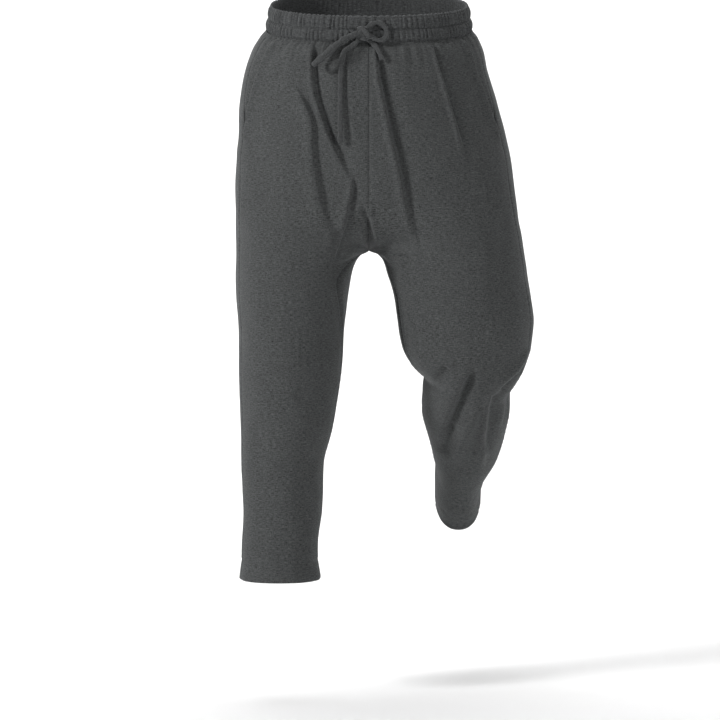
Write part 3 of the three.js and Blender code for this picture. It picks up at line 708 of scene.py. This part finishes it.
def addWaistband(look):
    count, half, height = look["columns"], look["wall"] / 2, look["height"]
    angle = turnSteps(count)
    outerAngle, outerShare = np.meshgrid(angle, np.linspace(1, 0, look["outerRows"]))
    outer = bandPoints(outerAngle, outerShare, half + bandOutward(outerAngle, outerShare))
    scallop = look["edgeWave"] * ridge(gatherPhase(angle, upperPhase))
    outer[..., 2] += scallop * smooth((outerShare - 0.8) / 0.2)
    innerAngle, innerShare = np.meshgrid(angle, np.linspace(0, 1, look["innerRows"]))
    wave = look["insideWave"] * ridge(gatherPhase(innerAngle, 1.0)) * np.sin(math.pi * innerShare)
    inner = bandPoints(innerAngle, innerShare, -half + wave)
    topRim = bandPoints(angle, np.ones(count), np.full(count, half * 0.2))
    topRim[:, 2] += 1.3 + scallop
    bottomRim = bandPoints(angle, np.zeros(count), np.zeros(count))
    bottomRim[:, 2] -= 0.8
    loop = np.concatenate([outer, bottomRim[None], inner, topRim[None]])
    index = np.arange(len(loop) * count).reshape(-1, count)
    below = np.roll(index, -1, axis=0)
    faces = quads(index, below, np.roll(below, -1, axis=1), np.roll(index, -1, axis=1))
    away = np.concatenate([outerShare[:, 0] * height, [-2], -4 - innerShare[:, 0] * height, [height + 2]])
    uv = np.stack(np.meshgrid(angle * look["meanRadius"], away), -1)
    return addMesh("waistband_cloth", loop.reshape(-1, 3), faces, "band_cloth", uv.reshape(-1, 2))


waistband = addWaistband(bandLook)
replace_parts(waistband, "waistband")
print("waistband made")

# The drawstring, in metres
drawstring = {
    "width": 0.0078,
    "thickness": 0.0046,
    "diameter": 0.0066,
    "wrinkle": 0.00035,
    "sides": 22,
    "step": 0.0012,
    "tone": (0.0500, 0.0520, 0.0528),
    "heather": 0.40,
    "fineness": 1.3,      # of its weave against the panels'
}
# Each strand's given way, in millimetres
cordWays = {
    "long tail": [
        (-15.6, -122, -36.4), (-20.5, -120.2, -42), (-28.5, -121.2, -48.6),
        (-37.5, -125.6, -54.5), (-42, -127.9, -64), (-44, -129.3, -75),
        (-44.8, -130.4, -87), (-45.3, -131.6, -103), (-45.6, -132.5, -120),
        (-45.6, -133, -136), (-45.7, -133.1, -151), (-45.8, -133, -168),
        (-46, -132.7, -184), (-46, -132.2, -200),
    ],
    "short tail": [
        (-3.8, -121.6, -36.2), (2.6, -120.6, -41), (9.3, -121.8, -47.5),
        (14.5, -126, -55.5), (17.8, -128.5, -62.5), (20, -129.7, -70),
    ],
    "left loop": [
        (-18, -121.4, -29.8), (-33, -120, -35.6), (-48, -120.8, -44.6),
        (-60, -124.6, -56), (-71, -126.4, -65.5), (-80, -127.4, -72.5),
        (-86, -131, -76.6), (-87.5, -137, -77), (-84.5, -142.6, -73.6),
        (-76, -144.8, -66), (-62, -142.8, -53.5), (-48, -138.8, -42.5),
        (-34, -133.6, -33.5), (-17.4, -128.2, -27.6),
    ],
    "right loop": [
        (-4.8, -120.9, -21.4), (2, -118.2, -14.8), (10, -116.9, -11.2),
        (18, -116.9, -12.5), (25, -117.7, -18.5), (27.6, -119.6, -27),
        (25.4, -122.4, -34), (19.6, -125.2, -38.6), (12.4, -126.6, -38.4),
        (6, -127.2, -35), (-0.4, -126.9, -30.6),
    ],
}


def finePath(way):
    points = np.array(way) * mm
    line = curveThrough([2 * points[0] - points[1], *points, 2 * points[-1] - points[-2]], 24)
    far = lengthAlong(line)
    at = np.linspace(0, far[-1], max(12, int(far[-1] / drawstring["step"])))
    return np.stack([np.interp(at, far, line[:, k]) for k in range(3)], -1), far[-1]


# A soft flat cord along a path, with rounded ends, small wrinkles and one crease along it
def strandMesh(path, width, thickness, seed):
    sides, wrinkle, capReach = drawstring["sides"], drawstring["wrinkle"], 0.0003
    tangents, along = unit(np.gradient(path, axis=0)), lengthAlong(path)
    phases = np.random.default_rng(seed).uniform(0, 6.28, 8)
    around = turnSteps(sides)
    across, deep = (part[:, None] for part in squaredCircle(around, 0.85))
    crease = 1.5 * hump(np.mod(around - 1.2, 2 * math.pi), 0.22, 0.4)
    facing = np.array([0.0, -1.0, 0.15])
    points, uv = [], []
    for place, tangent, far in zip(path, tangents, along):
        facing = unit(facing - tangent * (facing @ tangent))
        wide = np.cross(tangent, facing)
        left, rounding = min(far, along[-1] - far), 0.45 * thickness
        end = math.sqrt(min(1, (left + capReach) / rounding * (2 - min(1, left / rounding))))
        squash = 1 + 0.10 * math.sin(far * 240 + phases[0]) + 0.07 * math.sin(far * 520 + phases[1])
        dents = (np.sin(2 * around + far * 700 + phases[2]) * math.sin(far * 330 + phases[3])
                 + 0.6 * np.sin(3 * around - far * 900 + phases[4]))
        radial = across * wide * (width / 2 * squash * end)
        radial = radial + deep * facing * (thickness / 2 * (2 - squash) * end)
        length = np.linalg.norm(radial, axis=1)
        swell = 1 + wrinkle * (dents - crease) * end / np.maximum(length, 1e-6)
        points.append(place + radial * swell[:, None])
        uv.append(np.stack([around / (2 * math.pi) * (width * 2.6), np.full(sides, far)], -1))
    index = np.arange(len(path) * sides).reshape(-1, sides)
    a, b = index[:-1], index[1:]
    faces = quads(a, np.roll(a, -1, 1), np.roll(b, -1, 1), b).tolist()
    for k in range(sides):
        after = (k + 1) % sides
        faces.append([index.size, int(index[0, after]), int(index[0, k])])
        faces.append([index.size + 1, int(index[-1, k]), int(index[-1, after])])
    caps = [path[0] - tangents[0] * capReach, path[-1] + tangents[-1] * capReach]
    points, uv = np.concatenate([*points, caps]), np.concatenate([*uv, [uv[0][0], uv[-1][0]]])
    return points / mm, faces, uv / mm


cordFacts = {
    "long tail": ("drawstring_tail_long", "bare", "hanging"),
    "short tail": ("drawstring_tail_short", "bare", "hanging"),
    "left loop": ("drawstring_loop_left", "object", "hanging"),
    "right loop": ("drawstring_loop_right", "object", "loose"),
}
for seed, (name, (node, farEnd, lay)) in enumerate(cordFacts.items()):
    path, length = finePath(cordWays[name])
    points, faces, uv = strandMesh(path, drawstring["width"], drawstring["thickness"], seed)
    strand = addMesh(node + "_cloth", points, faces, "drawstring_cloth", uv)
    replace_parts(strand, node)
print("drawstring made")

# The knot: a core, and the strands that wrap it with their widths and thicknesses in metres
knot = {
    "centre": (-9.5, -123.6, -29),
    "core": (7.4, 5.6, 6.4),
    "columns": 40,
    "rows": 24,
    "firstSeed": 20,
    "wraps": [
        ([(-17.5, -120, -22.5), (-13.5, -127.5, -20.5), (-7.5, -130.8, -24.5),
          (-2.5, -129.6, -31.5), (-1, -123, -36.5)], 0.0080, 0.0046),
        ([(-4, -120, -22.5), (-7, -126.8, -21.5), (-13, -129, -25.5),
          (-17, -126.2, -32.5), (-16.5, -120, -37)], 0.0072, 0.0044),
        ([(-16.5, -120, -33), (-12, -126.2, -36), (-6, -126.2, -36.2),
          (-2, -120, -32)], 0.0070, 0.0044),
    ],
}


def addKnot(look):
    columns, rows = look["columns"], look["rows"]
    around, up = np.meshgrid(turnSteps(columns), np.linspace(0.02, math.pi - 0.02, rows))
    ball = np.stack([np.sin(up) * np.cos(around), np.sin(up) * np.sin(around), np.cos(up)], -1)
    ball = np.array(look["centre"]) + ball * look["core"]
    index = np.arange(rows * columns).reshape(rows, columns)
    a, b = index[:-1], index[1:]
    faces = quads(a, b, np.roll(b, -1, 1), np.roll(a, -1, 1)).tolist()
    faces += [index[0].tolist(), index[-1, ::-1].tolist()]
    verts, uvs = [ball.reshape(-1, 3)], [np.stack([around * 6, up * 6], -1).reshape(-1, 2)]
    count = len(verts[0])
    for seed, (way, width, thickness) in enumerate(look["wraps"], look["firstSeed"]):
        points, parts, uv = strandMesh(finePath(way)[0], width, thickness, seed)
        faces += [[i + count for i in face] for face in parts]
        verts.append(points)
        uvs.append(uv)
        count += len(points)
    verts, uvs = np.concatenate(verts), np.concatenate(uvs)
    return addMesh("drawstring_knot_cloth", verts, faces, "drawstring_cloth", uvs)


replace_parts(addKnot(knot), "drawstring_knot")
print("knot made")


# Materials
class Socket:
    def __init__(self, tree, socket):
        self.tree, self.socket = tree, socket

    def math(self, kind, *others):
        node = self.tree.nodes.new("ShaderNodeMath")
        node.operation = kind
        for slot, value in zip(node.inputs, (self, *others)):
            plug(self.tree, value, slot)
        return Socket(self.tree, node.outputs[0])

    def __add__(self, other):
        return self.math("ADD", other)

    __radd__ = __add__

    def __mul__(self, other):
        return self.math("MULTIPLY", other)

    __rmul__ = __mul__

    def __sub__(self, other):
        return self.math("SUBTRACT", other)

    def __rsub__(self, other):
        return self * -1 + other


def plug(tree, value, slot):
    if isinstance(value, Socket):
        tree.links.new(value.socket, slot)
    else:
        slot.default_value = value


def addNode(tree, kind, inputs=(), output=0, **settings):
    node = tree.nodes.new(kind)
    for name, value in settings.items():
        setattr(node, name, value)
    for name, value in dict(inputs).items():
        plug(tree, value, node.inputs[name])
    return Socket(tree, node.outputs[output])


def remap(value, fromLow, fromHigh, toLow=0.0, toHigh=1.0):
    inputs = {"Value": value, "From Min": fromLow, "From Max": fromHigh, "To Min": toLow, "To Max": toHigh}
    return addNode(value.tree, "ShaderNodeMapRange", inputs)


def startMaterial(name):
    material = bpy.data.materials.new(name)
    material.use_nodes = True
    material.node_tree.nodes.clear()
    return material, material.node_tree


def endMaterial(tree, inputs):
    shader = addNode(tree, "ShaderNodeBsdfPrincipled", inputs)
    plug(tree, shader, tree.nodes.new("ShaderNodeOutputMaterial").inputs["Surface"])
    return shader


def noise(tree, where, stretch, scale, detail, rough=0.6):
    vector = addNode(tree, "ShaderNodeVectorMath", {0: where, 1: (*stretch, 1.0)}, operation="MULTIPLY")
    inputs = {"Vector": vector, "Scale": scale, "Detail": detail, "Roughness": rough}
    return addNode(tree, "ShaderNodeTexNoise", inputs, output="Fac")


def tinted(tree, bright, tone):
    parts = {name: bright * part for name, part in zip(("Red", "Green", "Blue"), tone)}
    return addNode(tree, "ShaderNodeCombineColor", parts)


clothLook = {
    "tone": (0.0502, 0.0526, 0.0527),
    "heather": 1.05,       # how far single fibres differ from the tone
    "slub": 0.20,
    "patches": 0.06,
    "sheen": 0.22,
    "sheenTint": (0.42, 0.43, 0.44, 1),
    "sheenRoughness": 0.45,
    "specular": 0.25,
    "roughness": (0.80, 0.93),
    "weave": 1500,         # threads in a metre
    "bump": 0.5,
    "bumpDepth": 0.00035,
    "grains": {            # stretch, scale, detail and roughness of each noise
        "warp": ((1.0, 0.18), 1150, 1.0, 0.6),
        "weft": ((0.15, 1.0), 1080, 1.0, 0.6),
        "fibre": ((1.0, 1.0), 900, 2.0, 0.7),
        "across": ((0.04, 1.0), 700, 1.0, 0.6),
        "down": ((1.0, 0.04), 720, 1.0, 0.6),
    },
}


def makeCloth(name, look, fineness=1.0):
    material, tree = startMaterial(name)
    where = addNode(tree, "ShaderNodeUVMap", uv_map="cloth")
    warp, weft, fibre, across, down = (noise(tree, where, stretch, scale * fineness, detail, rough)
                                       for stretch, scale, detail, rough in look["grains"].values())
    patches = noise(tree, where, (1.0, 0.7), 22, 2.0, 0.5)
    heather = (warp * 0.9 + weft * 1.3 + fibre * 0.6 - 1.4) * look["heather"] * 1.8
    slubs = (remap(across, 0.50, 0.70) * 1.3 + remap(down, 0.54, 0.74)) * look["slub"]
    bright = heather + slubs + (patches - 0.5) * look["patches"] * 2 + (1 - look["slub"] * 0.45)
    turns = 2 * math.pi * look["weave"] * fineness
    waves = [(addNode(tree, "ShaderNodeSeparateXYZ", {"Vector": where}, output=axis) * turns).math("SINE")
             for axis in "XY"]
    height = waves[0] * waves[1] * 0.25 + warp * 0.5 + weft * 0.5 + slubs * 0.8 + fibre * 0.4
    bump = {"Strength": look["bump"], "Distance": look["bumpDepth"], "Height": height}
    endMaterial(tree, {
        "Base Color": tinted(tree, bright, look["tone"]),
        "Normal": addNode(tree, "ShaderNodeBump", bump, output="Normal"),
        "Roughness": remap(warp + weft, 0.7, 1.3, *look["roughness"]),
        "Specular IOR Level": look["specular"],
        "Sheen Weight": look["sheen"],
        "Sheen Roughness": look["sheenRoughness"],
        "Sheen Tint": look["sheenTint"],
    })
    return material


cordLook = {**clothLook, "tone": drawstring["tone"], "heather": drawstring["heather"]}
slotMaterials = {
    "panel_cloth": makeCloth("charcoal heather", clothLook),
    # the band's material is the panel cloth with painted shade: its tone is darker for the shade of the
    # gathers
    "band_cloth": makeCloth("charcoal band darkened for painted shade", {**clothLook, "tone": bandLook["tone"]}),
    "drawstring_cloth": makeCloth("charcoal drawstring", cordLook, drawstring["fineness"]),
}
for piece in list(bpy.data.objects):
    if piece.type == "MESH" and piece.get("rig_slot") in slotMaterials and not piece.data.materials:
        piece.data.materials.append(slotMaterials[piece["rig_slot"]])
print("materials set")

# Stitches, in metres, in rows on the cloth's outside
stitchLook = {
    "spacing": 0.0031,
    "length": 0.0021,
    "width": 0.00055,
    "unevenness": (0.86, 1.1),
    "seed": 5,
    "tone": (0.036, 0.038, 0.040),
    "bandRows": (0.05, 0.485, 0.515, 0.93),  # as shares of the band's height
    "lift": 0.15,                            # mm off the band
    "hemRow": 25,                            # mm above the hem
    "mouthRows": (4.5, 11.0),                # mm in from the pocket's mouth
    "fly": [(-36, -46), (-36, -86), (-34, -124), (-30, -160), (-22, -180), (-10, -190), (-1, -192)],
}


def stitchLines(look):
    lines = []
    angle = np.linspace(0, 2 * math.pi, 700)
    for share in look["bandRows"]:
        at = np.full_like(angle, share)
        lines.append(bandPoints(angle, at, bandLook["wall"] / 2 + look["lift"] + bandOutward(angle, at)))
    for name, (points, v) in outsides.items():
        middle = points[:, points.shape[1] // 2, 2]
        fromRow = np.where(v > 2.6, np.abs(middle - middle[-1] - look["hemRow"]), np.inf)
        lines.append(points[int(np.argmin(fromRow))])
        if "front" in name:
            beside = (v > 0.05) & (points[:, -1, 2] > form["pocketBottomZ"] + 6)
            rings = points[beside][:, ::-1]
            for away in look["mouthRows"]:
                lines.append(np.array([[np.interp(away, lengthAlong(ring), ring[:, k]) for k in range(3)]
                                       for ring in rings]))
    points, v = outsides["right_front_panel"]
    flat = points[:np.searchsorted(v, 1)].reshape(-1, 3)
    flat = flat[flat[:, 1] < 0]
    fly = []
    for x, z in smoothWay(look["fly"], 12):
        nearest = flat[np.argmin((flat[:, 0] - x) ** 2 + (flat[:, 2] - z) ** 2)]
        fly.append((x, nearest[1] - 0.3, z))
    return [*lines, np.array(fly)]


def stitchTree(look):
    tree = bpy.data.node_groups.new("stitch rows", "GeometryNodeTree")
    inputs = {"Geometry": "Geometry", "Spacing": "Float", "Length": "Float", "Width": "Float", "Seed": "Int",
              "Material": "Material"}
    for name, kind in inputs.items():
        tree.interface.new_socket(name, in_out="INPUT", socket_type="NodeSocket" + kind)
    tree.interface.new_socket("Geometry", in_out="OUTPUT", socket_type="NodeSocketGeometry")
    start = tree.nodes.new("NodeGroupInput").outputs
    given = {name: Socket(tree, start[name]) for name in inputs}
    curve = addNode(tree, "GeometryNodeMeshToCurve", {"Mesh": given["Geometry"]})
    steps = {"Curve": curve, "Length": given["Spacing"]}
    places = addNode(tree, "GeometryNodeCurveToPoints", steps, mode="LENGTH")
    turns = Socket(tree, places.socket.node.outputs["Rotation"])
    grain = addNode(tree, "GeometryNodeMeshIcoSphere", {"Radius": 0.5, "Subdivisions": 1})
    size = {"X": given["Width"], "Y": given["Width"], "Z": given["Length"]}
    size = addNode(tree, "ShaderNodeCombineXYZ", size)
    grain = addNode(tree, "GeometryNodeTransform", {"Geometry": grain, "Scale": size})
    low, high = look["unevenness"]
    uneven = addNode(tree, "FunctionNodeRandomValue", {2: low, 3: high, "Seed": given["Seed"]}, output=1)
    stitches = addNode(tree, "GeometryNodeInstanceOnPoints", {
        "Points": places, "Instance": grain, "Rotation": turns, "Scale": uneven})
    real = addNode(tree, "GeometryNodeRealizeInstances", {"Geometry": stitches})
    done = addNode(tree, "GeometryNodeSetMaterial", {"Geometry": real, "Material": given["Material"]})
    tree.links.new(done.socket, tree.nodes.new("NodeGroupOutput").inputs["Geometry"])
    return tree


def addStitches(look, material):
    points, edges = [], []
    for line in stitchLines(look):
        edges += [(len(points) + i, len(points) + i + 1) for i in range(len(line) - 1)]
        points += [tuple(point) for point in line * mm]
    guide = addObject("stitch guide", bpy.data.meshes.new("stitch guide"))
    guide.data.from_pydata(points, edges, [])
    modifier = guide.modifiers.new("stitches", "NODES")
    modifier.node_group = stitchTree(look)
    values = {name: look[name.lower()] for name in ("Spacing", "Length", "Width", "Seed")}
    values["Material"] = material
    for item in modifier.node_group.interface.items_tree:
        if item.in_out == "INPUT" and item.name in values:
            modifier[item.identifier] = values[item.name]
    mesh = bpy.data.meshes.new_from_object(guide.evaluated_get(bpy.context.evaluated_depsgraph_get()))
    bpy.data.objects.remove(guide)
    mesh.shade_smooth()
    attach(addObject("stitches", mesh), "root")


# A plain surface with a speckle in the object's own space, of brightness and roughness
def makePlain(name, tone, bright, roughness, scale, detail):
    material, tree = startMaterial(name)
    where = addNode(tree, "ShaderNodeTexCoord", output="Object")
    grain = noise(tree, where, (1.0, 1.0), scale, detail)
    return material, endMaterial(tree, {
        "Base Color": tinted(tree, remap(grain, 0.3, 0.7, *bright), tone),
        "Roughness": remap(grain, 0.3, 0.7, *roughness),
    })


thread, _ = makePlain("dark thread", stitchLook["tone"], (0.75, 1.25), (0.55, 0.7), 2400, 1.0)
addStitches(stitchLook, thread)
print("stitches made")

# Stage: a pale floor that sweeps up behind, clear from its back
stageLook = {
    "floorZ": -1.09,
    "halfWidth": 5,
    "front": -7.0,
    "back": 2.6,
    "bend": 1.2,
    "rise": 3.2,
    "tone": 0.86,
    "speckle": 0.01,
}


def addStage(look):
    bend, start = look["bend"], look["back"] - look["bend"]
    profile = [(look["front"], 0.0), (start, 0.0)]
    profile += [(start + bend * math.sin(t), bend - bend * math.cos(t)) for t in np.linspace(0.1, 1.57, 14)]
    profile += [(look["back"], look["rise"])]
    points = [(x, y, look["floorZ"] + z) for x in (-look["halfWidth"], look["halfWidth"]) for y, z in profile]
    count = len(profile)
    mesh = bpy.data.meshes.new("backdrop")
    mesh.from_pydata(points, [], [(i, i + count, i + count + 1, i + 1) for i in range(count - 1)])
    mesh.shade_smooth()
    low, high = look["tone"] - look["speckle"], look["tone"] + look["speckle"]
    material, shader = makePlain("pale backdrop", (1, 1, 1), (low, high), (0.7, 0.8), 3.0, 3.0)
    tree = material.node_tree
    behind = addNode(tree, "ShaderNodeNewGeometry", output="Backfacing")
    clear = addNode(tree, "ShaderNodeBsdfTransparent")
    surface = addNode(tree, "ShaderNodeMixShader", {0: behind, 1: shader, 2: clear})
    plug(tree, surface, tree.nodes["Material Output"].inputs["Surface"])
    mesh.materials.append(material)
    addObject("backdrop", mesh)


addStage(stageLook)

lights = {
    "key": {"place": (-4.0, -2.1, 1.6), "size": 1.0, "power": 205},
    "fill": {"place": (2.9, -3.7, 0.8), "size": 2.4, "power": 72},
    "backdrop": {"place": (0.0, 1.2, 2.4), "size": 3.0, "power": 90, "aim": (0.0, 2.6, -0.2)},
}
worldStrength = 0.24


def addLight(name, place, size, power, aim=(0.0, 0.0, -0.45)):
    lamp = bpy.data.lights.new(name, "AREA")
    lamp.shape = "DISK"
    lamp.size = size
    lamp.energy = power
    light = addObject(name, lamp)
    light.location = place
    light.visible_camera = False
    light.rotation_euler = (Vector(aim) - Vector(place)).to_track_quat("-Z", "Y").to_euler()


for name, settings in lights.items():
    addLight(name, **settings)
world = bpy.data.worlds.new("studio")
world.use_nodes = True
background = world.node_tree.nodes["Background"]
background.inputs["Color"].default_value = (1, 1, 1, 1)
background.inputs["Strength"].default_value = worldStrength
bpy.context.scene.world = world
bpy.context.scene.view_settings.view_transform = "Standard"
bpy.context.scene.view_settings.look = "None"
print("stage and lights set")
